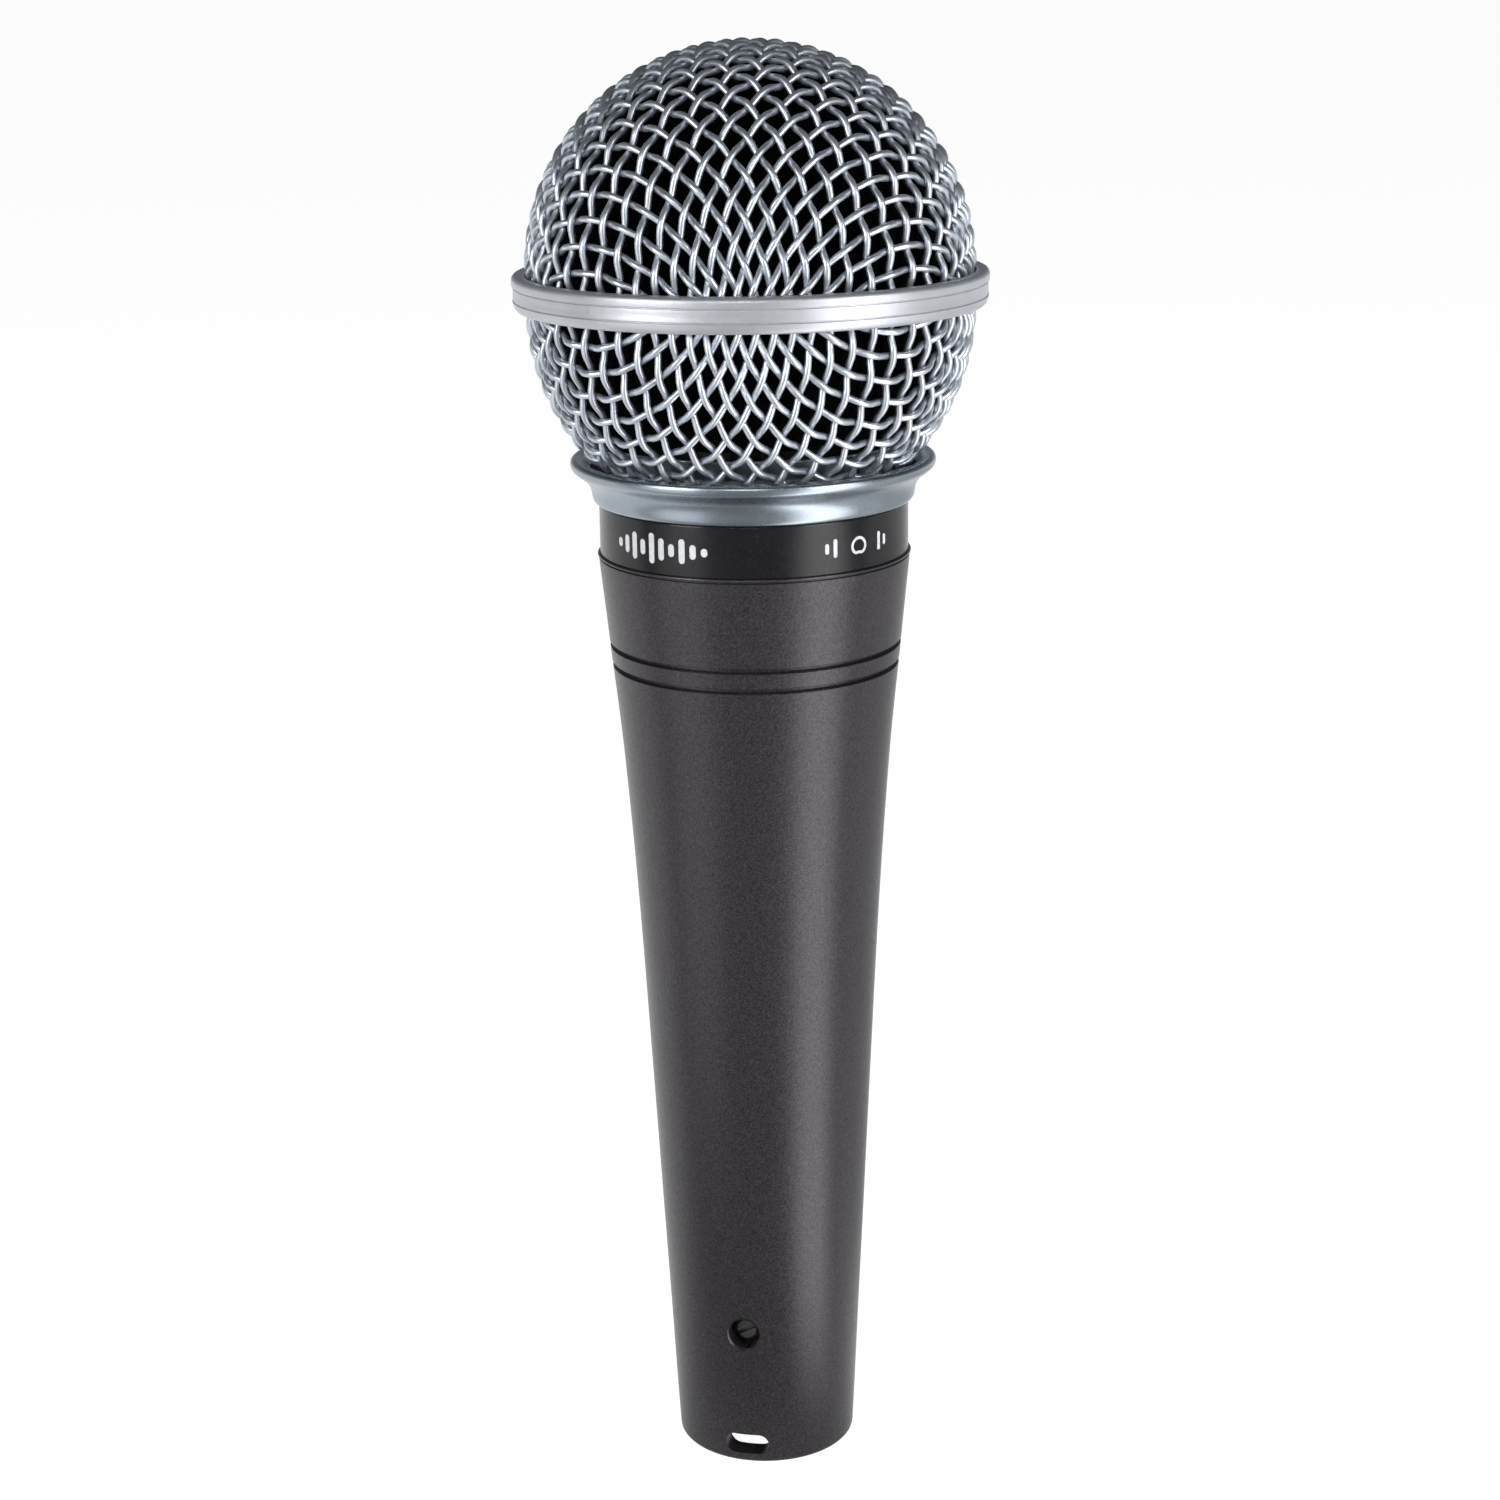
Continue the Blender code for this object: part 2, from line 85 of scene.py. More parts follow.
# ------------------------------------------------------------------ node helpers
class Tree:
    """A material's node tree, with short calls for the nodes used below."""

    def __init__(self, name):
        self.material = bpy.data.materials.new(name)
        self.material.use_nodes = True
        self.tree = self.material.node_tree
        self.tree.nodes.clear()
        self.out = self.tree.nodes.new("ShaderNodeOutputMaterial")
        self.shader = self.tree.nodes.new("ShaderNodeBsdfPrincipled")
        self.link(self.shader.outputs[0], self.out.inputs[0])
        self.coord = self.tree.nodes.new("ShaderNodeTexCoord")

    def node(self, kind, **values):
        made = self.tree.nodes.new(kind)
        for key, value in values.items():
            setattr(made, key, value)
        return made

    def link(self, a, b):
        self.tree.links.new(a, b)

    def place(self, scale=(1, 1, 1), turn=(0, 0, 0)):
        mapping = self.node("ShaderNodeMapping")
        mapping.inputs["Scale"].default_value = scale
        mapping.inputs["Rotation"].default_value = turn
        self.link(self.coord.outputs["Object"], mapping.inputs["Vector"])
        return mapping.outputs[0]

    def noise(self, scale, detail=3.0, rough=0.55, at=None, stretch=(1, 1, 1)):
        made = self.node("ShaderNodeTexNoise")
        made.inputs["Scale"].default_value = scale
        made.inputs["Detail"].default_value = detail
        made.inputs["Roughness"].default_value = rough
        self.link(at or self.place(stretch), made.inputs["Vector"])
        return made.outputs["Fac"]

    def voronoi(self, scale, feature="F1", at=None, stretch=(1, 1, 1)):
        made = self.node("ShaderNodeTexVoronoi", feature=feature)
        made.inputs["Scale"].default_value = scale
        self.link(at or self.place(stretch), made.inputs["Vector"])
        return made

    def span(self, value, low, high, to_low=0.0, to_high=1.0):
        made = self.node("ShaderNodeMapRange")
        made.inputs["From Min"].default_value = low
        made.inputs["From Max"].default_value = high
        made.inputs["To Min"].default_value = to_low
        made.inputs["To Max"].default_value = to_high
        self.link(value, made.inputs["Value"])
        return made.outputs[0]

    def sums(self, operation, a, b):
        made = self.node("ShaderNodeMath", operation=operation)
        for socket, value in zip(made.inputs, (a, b)):
            if isinstance(value, (int, float)):
                socket.default_value = value
            else:
                self.link(value, socket)
        return made.outputs[0]

    def mix(self, factor, a, b, blend="MIX"):
        made = self.node("ShaderNodeMix", data_type="RGBA", blend_type=blend)
        if isinstance(factor, (int, float)):
            made.inputs[0].default_value = factor
        else:
            self.link(factor, made.inputs[0])
        for socket, value in ((made.inputs[6], a), (made.inputs[7], b)):
            if isinstance(value, tuple):
                socket.default_value = (*value, 1.0)
            else:
                self.link(value, socket)
        return made.outputs[2]

    def bump(self, height, depth, strength=1.0, under=None):
        """A relief whose full height is depth metres."""
        made = self.node("ShaderNodeBump")
        made.inputs["Strength"].default_value = strength
        made.inputs["Distance"].default_value = depth
        self.link(height, made.inputs["Height"])
        if under is not None:
            self.link(under, made.inputs["Normal"])
        return made.outputs[0]

    def set(self, socket, value):
        if isinstance(value, (int, float)):
            self.shader.inputs[socket].default_value = value
        elif isinstance(value, tuple):
            self.shader.inputs[socket].default_value = (*value, 1.0)
        else:
            self.link(value, self.shader.inputs[socket])


def enamel():
    """Dark baked metallic enamel: warm grey, even fine grain, faint orange peel."""
    m = Tree("enamel_finish")
    cloud = m.noise(60.0, 3.0)
    fleck = m.noise(4300.0, 2.0, 0.65)
    spark = m.span(m.noise(6100.0, 1.0, 0.5), 0.62, 0.74)
    base = m.mix(m.span(cloud, 0.3, 0.7), (0.0270, 0.0225, 0.0264), (0.0307, 0.0260, 0.0302))
    base = m.mix(m.span(fleck, 0.36, 0.66), (0.0152, 0.0130, 0.0150), m.mix(0.6, base, (0.068, 0.058, 0.067)))
    base = m.mix(m.sums("MULTIPLY", spark, 0.14), base, (0.26, 0.25, 0.25))
    m.set("Base Color", base)
    m.set("Roughness", m.span(m.noise(1800.0, 3.0), 0.3, 0.7, 0.29, 0.38))
    m.set("Metallic", 0.3)
    m.set("Specular IOR Level", 0.5)
    m.set("Normal", m.bump(m.noise(1500.0, 3.0, 0.6), 0.00004, 0.42, m.bump(m.noise(260.0, 2.0), 0.00004, 0.15)))
    return m.material


def silver(name="silver_finish", tone=(0.53, 0.545, 0.575), rough=(0.35, 0.47), relief=0.4, metal=0.72):
    """Matte silver paint on turned zinc: metallic grain, faint lathe lines."""
    m = Tree(name)
    grain = m.noise(6500.0, 2.0, 0.6)
    cloud = m.noise(160.0, 3.0)
    base = m.mix(m.span(cloud, 0.3, 0.7), tuple(0.93 * c for c in tone), tuple(min(1.0, 1.05 * c) for c in tone))
    base = m.mix(m.span(grain, 0.35, 0.7, 0.0, 0.8 * relief), base, tuple(0.72 * c for c in tone))
    m.set("Base Color", base)
    m.set("Metallic", metal)
    m.set("Roughness", m.span(m.noise(2600.0, 3.0), 0.3, 0.7, *rough))
    lathe = m.noise(400.0, 3.0, 0.6, stretch=(0.3, 0.3, 18.0))
    m.set("Normal", m.bump(m.noise(4200.0, 2.0), 0.00002, relief, m.bump(lathe, 0.00002, 0.6 * relief)))
    return m.material


def wire_metal():
    """Plated steel wire after forming: satin, with drawn scratches."""
    m = Tree("wire_finish")
    cloud = m.noise(420.0, 3.0)
    fine = m.noise(7000.0, 2.0)
    base = m.mix(m.span(cloud, 0.3, 0.7), (0.54, 0.575, 0.63), (0.67, 0.71, 0.775))
    base = m.mix(m.span(fine, 0.4, 0.75, 0.0, 0.35), base, (0.35, 0.375, 0.42))
    m.set("Base Color", base)
    m.set("Metallic", 0.78)
    m.set("Roughness", m.span(m.noise(2200.0, 3.0), 0.3, 0.7, 0.29, 0.40))
    m.set("Normal", m.bump(m.noise(3600.0, 3.0), 0.00002, 0.22))
    return m.material


def band_black():
    """Black satin anodised band with a faint turned grain and tiny handling marks."""
    m = Tree("band_finish")
    base = m.mix(m.span(m.noise(300.0, 3.0), 0.3, 0.7), (0.0040, 0.0042, 0.0056), (0.0065, 0.0068, 0.0085))
    base = m.mix(m.span(m.noise(5000.0, 2.0), 0.62, 0.74, 0.0, 0.4), base, (0.06, 0.06, 0.065))
    m.set("Base Color", base)
    m.set("Roughness", m.span(m.noise(1500.0, 3.0), 0.3, 0.7, 0.20, 0.28))
    m.set("Specular IOR Level", 0.32)
    m.set("Normal", m.bump(m.noise(900.0, 3.0, stretch=(0.4, 0.4, 9.0)), 0.00002, 0.35))
    return m.material


def foam():
    """Open-cell foam: the cell hollows painted darker than the slightly lighter struts, as painted shade, and sunk
    by the same mask as relief.
    """
    m = Tree("foam_finish")
    cells = m.voronoi(1500.0, "DISTANCE_TO_EDGE").outputs["Distance"]
    pit_relief_and_shade = m.span(cells, 0.0, 0.25)
    # painted shade: the insides of the cells get the darker colour
    base = m.mix(pit_relief_and_shade, (0.0030, 0.0030, 0.0033), (0.0004, 0.0004, 0.0005))
    m.set("Base Color", m.mix(m.span(m.noise(140.0), 0.35, 0.7, 0.0, 0.5), base, (0.0012, 0.0012, 0.0013)))
    m.set("Roughness", 0.95)
    m.set("Specular IOR Level", 0.03)
    m.set("Normal", m.bump(pit_relief_and_shade, 0.0002, 0.8))
    return m.material


def ink():
    m = Tree("ink_finish")
    m.set("Base Color", m.mix(m.span(m.noise(2500.0, 3.0), 0.35, 0.7), (0.62, 0.62, 0.65), (0.80, 0.80, 0.82)))
    m.set("Roughness", m.span(m.noise(1800.0), 0.3, 0.7, 0.42, 0.58))
    m.set("Normal", m.bump(m.noise(3000.0), 0.00001, 0.4))
    return m.material


def plain(name, colour, rough, metal, kind):
    """Finishes of the hidden working parts: machined metal, moulded plastic, cloth, rubber, winding, laminations."""
    m = Tree(name + "_finish")
    light = tuple(min(1.0, 1.18 * c + 0.003) for c in colour)
    dark = tuple(0.78 * c for c in colour)
    factor = m.span(m.noise(240.0, 4.0), 0.3, 0.7)
    height, depth, strength = m.noise(1800.0, 3.0), 0.00002, 0.4
    if kind == "turned":
        height, depth = m.noise(500.0, 3.0, stretch=(0.4, 0.4, 16.0)), 0.00003
    elif kind == "cloth":
        warp = m.node("ShaderNodeTexWave", wave_type="BANDS", bands_direction="X")
        weft = m.node("ShaderNodeTexWave", wave_type="BANDS", bands_direction="Y")
        for thread in (warp, weft):
            thread.inputs["Scale"].default_value = 900.0
            m.link(m.coord.outputs["Object"], thread.inputs["Vector"])
        height, depth, strength = m.sums("MAXIMUM", warp.outputs["Fac"], weft.outputs["Fac"]), 0.00008, 0.8
        factor = height
    elif kind == "felt":
        height, depth, strength = m.noise(2600.0, 6.0, 0.8), 0.00015, 0.8
        factor = height
    elif kind == "winding":
        turns = m.node("ShaderNodeTexWave", wave_type="BANDS", bands_direction="Z")
        turns.inputs["Scale"].default_value = 1500.0
        turns.inputs["Distortion"].default_value = 0.6
        m.link(m.coord.outputs["Object"], turns.inputs["Vector"])
        height, depth, strength = turns.outputs["Fac"], 0.00006, 0.9
        factor = height
    elif kind == "stack":
        sheets = m.node("ShaderNodeTexWave", wave_type="BANDS", bands_direction="Y")
        sheets.inputs["Scale"].default_value = 450.0
        m.link(m.coord.outputs["Object"], sheets.inputs["Vector"])
        height, depth, strength = sheets.outputs["Fac"], 0.00006, 0.8
        factor = height
    elif kind == "film":
        height, depth, strength = m.noise(120.0, 2.0), 0.00003, 0.3
    elif kind == "rubber":
        height, depth, strength = m.noise(2200.0, 5.0, 0.7), 0.00004, 0.6
    # for cloth, felt, winding and stack the colour follows the relief height, the low parts darker: between threads
    # and wire turns this is painted shade
    m.set("Base Color", m.mix(factor, dark, light))
    m.set("Roughness", m.span(m.noise(1300.0, 3.0), 0.3, 0.7, max(0.05, rough - 0.08), min(1.0, rough + 0.08)))
    m.set("Metallic", metal)
    m.set("Normal", m.bump(height, depth, strength))
    return m.material


ENAMEL, SILVER, WIRE, BAND, FOAM, INK = enamel(), silver(), wire_metal(), band_black(), foam(), ink()
PALE = silver("pale_finish", (0.26, 0.275, 0.30), (0.38, 0.50))
# the collar's silver is a darker copy of the ring's silver: painted shade on its hollow flare
COLLAR_PAINTED_DARK = silver("collar_silver_painted_dark", (0.31, 0.355, 0.395), (0.26, 0.32), 0.02, 0.97)
SLOT_FINISH = {
    "dark_enamel": ENAMEL,
    "silver_paint": SILVER,
    "wire_cloth": WIRE,
    "band_black": BAND,
    "foam_black": FOAM,
    "aluminium": plain("aluminium", (0.56, 0.57, 0.58), 0.36, 0.95, "turned"),
    "black_plastic": plain("black_plastic", (0.018, 0.018, 0.02), 0.5, 0.0, "moulded"),
    "black_rubber": plain("black_rubber", (0.013, 0.013, 0.013), 0.82, 0.0, "rubber"),
    "port_cloth": plain("port_cloth", (0.05, 0.05, 0.055), 0.9, 0.0, "cloth"),
    "polyester_film": plain("polyester_film", (0.72, 0.68, 0.55), 0.18, 0.0, "film"),
    "copper_wire": plain("copper_wire", (0.50, 0.19, 0.075), 0.34, 0.85, "winding"),
    "plated_steel": plain("plated_steel", (0.45, 0.455, 0.46), 0.33, 0.95, "turned"),
    "sintered_magnet": plain("sintered_magnet", (0.20, 0.20, 0.21), 0.38, 0.8, "moulded"),
    "laminated_steel": plain("laminated_steel", (0.11, 0.105, 0.10), 0.5, 0.75, "stack"),
    "terminal_board": plain("terminal_board", (0.30, 0.19, 0.08), 0.6, 0.0, "felt"),
    "silver_plate": plain("silver_plate", (0.64, 0.64, 0.61), 0.24, 1.0, "turned"),
    "wire_red": plain("wire_red", (0.42, 0.025, 0.025), 0.42, 0.0, "moulded"),
    "wire_green": plain("wire_green", (0.025, 0.22, 0.05), 0.42, 0.0, "moulded"),
    "wire_yellow": plain("wire_yellow", (0.58, 0.42, 0.04), 0.42, 0.0, "moulded"),
    "wire_black": plain("wire_black", (0.018, 0.018, 0.018), 0.42, 0.0, "moulded"),
}
FELT = plain("felt", (0.07, 0.068, 0.066), 0.95, 0.0, "felt")
for entry in frame["record"]["subparts"]:
    cad = frame["nodes"][entry["node"]]
    finish = SLOT_FINISH[entry["material_slot"]]
    if entry["node"] == "damping_felt":
        finish = FELT
    if not cad.material_slots:
        cad.data.materials.append(finish)
    for place in cad.material_slots:
        place.material = finish


# ------------------------------------------------------------------ mesh helpers
def add(name, verts, faces, finish, smooth=True):
    mesh = bpy.data.meshes.new(name)
    mesh.from_pydata([tuple(v) for v in verts], [], [tuple(f) for f in faces])
    mesh.materials.append(finish)
    obj = bpy.data.objects.new(name, mesh)
    scene.collection.objects.link(obj)
    if smooth:
        mesh.shade_smooth()
    return obj


def rounded(outline, radius, steps=4):
    """Rounds the corners of an open outline of (r, z[, own radius]), mm."""
    done = [outline[0][:2]]
    for before, here, after in zip(outline, outline[1:], outline[2:]):
        own = here[2] if len(here) > 2 else radius
        p, a, b = Vector(here[:2]), Vector(before[:2]), Vector(after[:2])
        u, v = a - p, b - p
        cut = min(own, 0.48 * u.length, 0.48 * v.length)
        if cut < 1e-4:
            done.append(tuple(p))
            continue
        start, end = p + u.normalized() * cut, p + v.normalized() * cut
        for k in range(steps + 1):
            t = k / steps
            q = start * (1 - t) ** 2 + p * (2 * t * (1 - t)) + end * t**2
            done.append(tuple(q))
    done.append(outline[-1][:2])
    return done


def curve_through(points, steps):
    """Catmull-Rom through (r, z) points."""
    pts = [np.array(p[:2], float) for p in points]
    pts = [2 * pts[0] - pts[1]] + pts + [2 * pts[-1] - pts[-2]]
    out = []
    for k in range(1, len(pts) - 2):
        p0, p1, p2, p3 = pts[k - 1 : k + 3]
        for s in range(steps):
            t = s / steps
            out.append(
                tuple(
                    0.5
                    * (
                        2 * p1
                        + (p2 - p0) * t
                        + (2 * p0 - 5 * p1 + 4 * p2 - p3) * t * t
                        + (3 * p1 - p0 - 3 * p2 + p3) * t**3
                    )
                )
            )
    out.append(tuple(pts[-2]))
    return out


def lathe(name, outline, finish, facets=192, closed=True, sharp=32.0):
    """A round piece from a closed outline of (r, z) in mm. Points on the axis become single points."""
    kept = [outline[0]]
    for p in outline[1:]:
        if math.dist(p, kept[-1]) > 1e-4:
            kept.append(p)
    if closed and math.dist(kept[0], kept[-1]) < 1e-4:
        kept.pop()
    angles = np.linspace(0, 2 * np.pi, facets, endpoint=False)
    cos, sin = np.cos(angles), np.sin(angles)
    verts, rows = [], []
    for r, z in kept:
        if r < 1e-6:
            rows.append([len(verts)] * facets)
            verts.append((0.0, 0.0, z * MM))
        else:
            rows.append(list(range(len(verts), len(verts) + facets)))
            verts.extend(zip(r * MM * cos, r * MM * sin, [z * MM] * facets))
    faces = []
    last = len(kept) if closed and (kept[0][0] > 1e-6 or kept[-1][0] > 1e-6) else len(kept) - 1
    for k in range(last):
        a, b = rows[k], rows[(k + 1) % len(kept)]
        for s in range(facets):
            t = (s + 1) % facets
            face = []
            for corner in (a[s], a[t], b[t], b[s]):
                if corner not in face:
                    face.append(corner)
            if len(face) > 2:
                faces.append(face)
    obj = add(name, verts, faces, finish)
    tidy(obj)
    sharpen(obj, sharp)
    return obj


def tidy(obj):
    bm = bmesh.new()
    bm.from_mesh(obj.data)
    bmesh.ops.remove_doubles(bm, verts=bm.verts, dist=1e-7)
    bmesh.ops.recalc_face_normals(bm, faces=bm.faces)
    bm.to_mesh(obj.data)
    bm.free()


def sharpen(obj, degrees):
    """Smooth shading, with edges over this angle kept crisp."""
    mesh = obj.data
    bm = bmesh.new()
    bm.from_mesh(mesh)
    limit = math.radians(degrees)
    for face in bm.faces:
        face.smooth = True
    for edge in bm.edges:
        edge.smooth = not (len(edge.link_faces) == 2 and edge.calc_face_angle(0.0) > limit)
    bm.to_mesh(mesh)
    bm.free()


def rod(name, radius, start, end, radius_end=None, facets=48):
    a, b = Vector(start) * MM, Vector(end) * MM
    bm = bmesh.new()
    bmesh.ops.create_cone(
        bm,
        cap_ends=True,
        segments=facets,
        radius1=radius * MM,
        radius2=(radius if radius_end is None else radius_end) * MM,
        depth=(b - a).length,
    )
    turn = Vector((0, 0, 1)).rotation_difference((b - a).normalized()).to_matrix().to_4x4()
    bmesh.ops.transform(bm, matrix=Matrix.Translation((a + b) / 2) @ turn, verts=bm.verts)
    mesh = bpy.data.meshes.new(name)
    bm.to_mesh(mesh)
    bm.free()
    obj = bpy.data.objects.new(name, mesh)
    scene.collection.objects.link(obj)
    return obj


def cut(target, tools, operation="DIFFERENCE"):
    """Applies each tool to the target by Boolean, then removes it."""
    for tool in tools:
        step = target.modifiers.new("cut", "BOOLEAN")
        step.operation = operation
        step.solver = "EXACT"
        step.object = tool
    graph = bpy.context.evaluated_depsgraph_get()
    made = bpy.data.meshes.new_from_object(target.evaluated_get(graph))
    target.modifiers.clear()
    target.data = made
    for tool in tools:
        bpy.data.objects.remove(tool, do_unlink=True)


def stadium(name, half, radius, z, y0, y1, facets=40):
    """A slot-shaped block along Y, its ends half circles."""
    ring = []
    for k in range(facets):
        a = 2 * math.pi * k / facets
        x = math.cos(a) * radius + (half if math.cos(a) >= 0 else -half)
        ring.append((x, z + math.sin(a) * radius))
    verts = [(x * MM, y * MM, h * MM) for y in (y0, y1) for x, h in ring]
    n = len(ring)
    faces = [tuple(range(n)), tuple(range(2 * n - 1, n - 1, -1))]
    faces += [(k, k + n, (k + 1) % n + n, (k + 1) % n) for k in range(n)]
    obj = add(name, verts, faces, ENAMEL, False)
    tidy(obj)
    return obj


# ------------------------------------------------------------------ handle
H_TOP = top("handle_shell")  # 115.3
SIDE = (
    (11.42, 6.0),
    (12.02, 18.0),
    (12.65, 30.0),
    (13.26, 42.0),
    (13.88, 54.0),
    (14.51, 66.0),
    (15.24, 78.0),
    (16.13, 90.0),
    (16.68, 96.0),
    (17.23, 101.2),
    (17.54, 104.2),
    (17.91, 108.0),
    (18.56, 114.3),
)
wall = curve_through(SIDE, 6)


def wall_radius(z):
    rs, zs = zip(*wall)
    return float(np.interp(z, zs, rs))


outline = [(8.85, 0.0, 0.1), (10.72, 0.0, 0.35), (wall_radius(6.0) - 0.29, 1.2, 0.3)]
outline[2] = (11.12, 0.45, 0.3)
groove_low, groove_high = 102.2, 104.65
body = []
for r, z in wall:
    if any(abs(z - g) < 0.75 for g in (groove_low, groove_high)):
        continue
    body.append((r, z))
for g in (groove_low, groove_high):
    r = wall_radius(g)
    half = 0.29
    shape = [
        (wall_radius(g - half - 0.07), g - half - 0.07),
        (wall_radius(g - half) - 0.06, g - half),
        (r - 0.70, g - half + 0.03),
        (r - 0.78, g - half + 0.12),
        (r - 0.78, g + half - 0.12),
        (r - 0.70, g + half - 0.03),
        (wall_radius(g + half) - 0.06, g + half),
        (wall_radius(g + half + 0.07), g + half + 0.07),
    ]
    body += shape
body.sort(key=lambda p: p[1])
# the top rim: a scribed line under a slightly proud lip
RIM = H_TOP + 0.42
rim = [
    (18.62, H_TOP - 0.14),
    (18.54, H_TOP - 0.10),
    (18.34, H_TOP - 0.08),
    (18.34, H_TOP + 0.06),
    (18.62, H_TOP + 0.08),
    (18.73, H_TOP + 0.14),
    (18.76, H_TOP + 0.24),
    (18.76, RIM - 0.14),
    (18.73, RIM - 0.05),
    (18.64, RIM),
    (18.20, RIM),
]
inside = [
    (17.35, RIM),
    (17.35, 115.7),
    (16.0, 115.7),
    (16.0, 106.0),
    (14.9, 106.0),
    (14.5, 98.0),
    (13.2, 84.0),
    (11.95, 60.0),
    (10.3, 30.0),
    (7.6, 26.4),
    (7.6, 24.8),
    (8.45, 24.8),
    (8.45, 0.5),
]
low = rounded(outline + [(11.12, 0.9)], 0.3, 4)
handle_outline = [(8.8, 0.05), (8.95, 0.0)] + low[1:-1] + [(11.14, 0.9), (11.25, 2.8)] + body + rim + inside
handle_body = lathe("handle_body", handle_outline, ENAMEL, 192)
HOLE_Z, HOLE_R = 18.0, 1.95
SLOT_Z, SLOT_HALF, SLOT_R = 2.62, 1.45, 1.35
cut(
    handle_body,
    [
        rod("t1", HOLE_R, (0, -16, HOLE_Z), (0, -6, HOLE_Z)),
        rod("t2", HOLE_R + 1.6, (0, -13.25, HOLE_Z), (0, -11.62, HOLE_Z), HOLE_R - 0.03),
        stadium("t3", SLOT_HALF, SLOT_R, SLOT_Z, -16, -5),
    ],
)
sharpen(handle_body, 28)
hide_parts("handle_shell")
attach(handle_body, "handle")

# threaded neck, its thread a real helix, seen when the head is unscrewed
NECK_TOP = top("thread_neck")
PITCH = 1.25


def neck():
    facets, rows = 120, []
    zs = np.arange(121.6, NECK_TOP - 0.15, 0.104)
    angles = np.linspace(0, 2 * np.pi, facets, endpoint=False)
    verts = []

    def ring(radii, z):
        rows.append(list(range(len(verts), len(verts) + facets)))
        for a, r in zip(angles, radii):
            verts.append((r * MM * math.cos(a), r * MM * math.sin(a), z * MM))

    flat = np.full(facets, 1.0)
    for r, z in ((14.3, NECK_TOP - 0.1), (14.4, 106.35), (15.65, 106.35), (15.7, 115.55), (16.85, 115.6), (16.88, 121.3)):
        ring(flat * r, z)
    for z in zs:
        phase = (z / PITCH - angles / (2 * np.pi)) % 1.0
        tooth = np.clip(1.25 - np.abs(phase - 0.5) * 4.0, 0.0, 1.0)
        fade = min(1.0, (z - 121.6) / 0.8, (NECK_TOP - 0.15 - z) / 0.5)
        ring(16.32 + 0.54 * tooth * max(0.0, fade), z)
    ring(flat * 16.1, NECK_TOP)
    ring(flat * 14.5, NECK_TOP)
    faces = []
    for k in range(len(rows)):
        a, b = rows[k], rows[(k + 1) % len(rows)]
        for s in range(facets):
            t = (s + 1) % facets
            faces.append((a[s], a[t], b[t], b[s]))
    obj = add("neck_with_thread", verts, faces, SLOT_FINISH["aluminium"])
    tidy(obj)
    sharpen(obj, 40)
    return obj


neck_piece = neck()
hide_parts("thread_neck")
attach(neck_piece, "handle")

# band
B_TOP, B_LOW, B_R = top("label_band") + 0.6, RIM - 0.1, reach("label_band")
band = lathe(
    "band_sleeve",
    rounded(
        [
            (17.25, B_TOP),
            (B_R - 0.02, B_TOP, 0.12),
            (B_R, B_TOP - 0.2, 0.1),
            (B_R, B_LOW + 0.2, 0.1),
            (B_R - 0.05, B_LOW, 0.12),
            (17.25, B_LOW),
        ],
        0.1,
    ),
    BAND,
)
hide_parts("label_band")
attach(band, "handle")


# ------------------------------------------------------------------ printed marks
def patch(verts, faces, shape, centre, z, lift=0.018, thick=0.03):
    """Wraps a flat filled outline of (across, up) in mm round the band, as a thin raised print."""
    n = len(shape)
    start = len(verts)
    for depth in (lift, lift - thick):
        for x, y in shape:
            a = centre + x / B_R
            r = B_R + depth
            verts.append((r * MM * math.sin(a), -r * MM * math.cos(a), (z + y) * MM))
    faces.append(tuple(range(start, start + n)))
    faces.append(tuple(range(start + 2 * n - 1, start + n - 1, -1)))
    for k in range(n):
        t = (k + 1) % n
        faces.append((start + k, start + n + k, start + n + t, start + t))


def bar(x, y0, y1, width):
    """An upright bar with rounded ends."""
    r = width / 2
    right = [(x + r * math.cos(a), y1 - r + r * math.sin(a)) for a in np.linspace(0, math.pi, 9)]
    left = [(x + r * math.cos(a), y0 + r + r * math.sin(a)) for a in np.linspace(math.pi, 2 * math.pi, 9)]
    return right + left


def strip(points, width):
    """Pieces of a line of this width through points, as quads."""
    out = []
    for (x0, y0), (x1, y1) in zip(points, points[1:]):
        dx, dy = x1 - x0, y1 - y0
        length = math.hypot(dx, dy) or 1.0
        nx, ny = -dy / length * width / 2, dx / length * width / 2
        out.append([(x0 + nx, y0 + ny), (x0 - nx, y0 - ny), (x1 - nx, y1 - ny), (x1 + nx, y1 + ny)])
    return out


MARK_Z = 118.72
verts, faces = [], []
left_at = FACING - math.radians(37.7)
for k, tall in enumerate((1.1, 2.1, 3.2, 1.8, 3.6, 2.6, 1.5, 2.9, 1.7, 1.0)):
    patch(verts, faces, bar(-6.3 + 1.4 * k, -tall / 2, tall / 2, 0.78), left_at, MARK_Z)
right_at = FACING + math.radians(40.8)
heart = [
    ((0.5 + 0.5 * math.sin(t)) * 1.55 * math.cos(t), (0.5 + 0.5 * math.sin(t)) * 1.55 * math.sin(t) - 0.7)
    for t in np.linspace(-math.pi / 2, 1.5 * math.pi, 49)
]
for quad in strip(heart, 0.34):
    patch(verts, faces, quad, right_at, MARK_Z)
for x in (-3.4, 3.4):
    patch(verts, faces, bar(x, -1.1, 1.1, 0.5), right_at, MARK_Z)
for x in (-4.5, 4.5):
    patch(verts, faces, bar(x, -0.62, 0.62, 0.5), right_at, MARK_Z)
marks = add("band_marks", verts, faces, INK, False)
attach(marks, "handle")

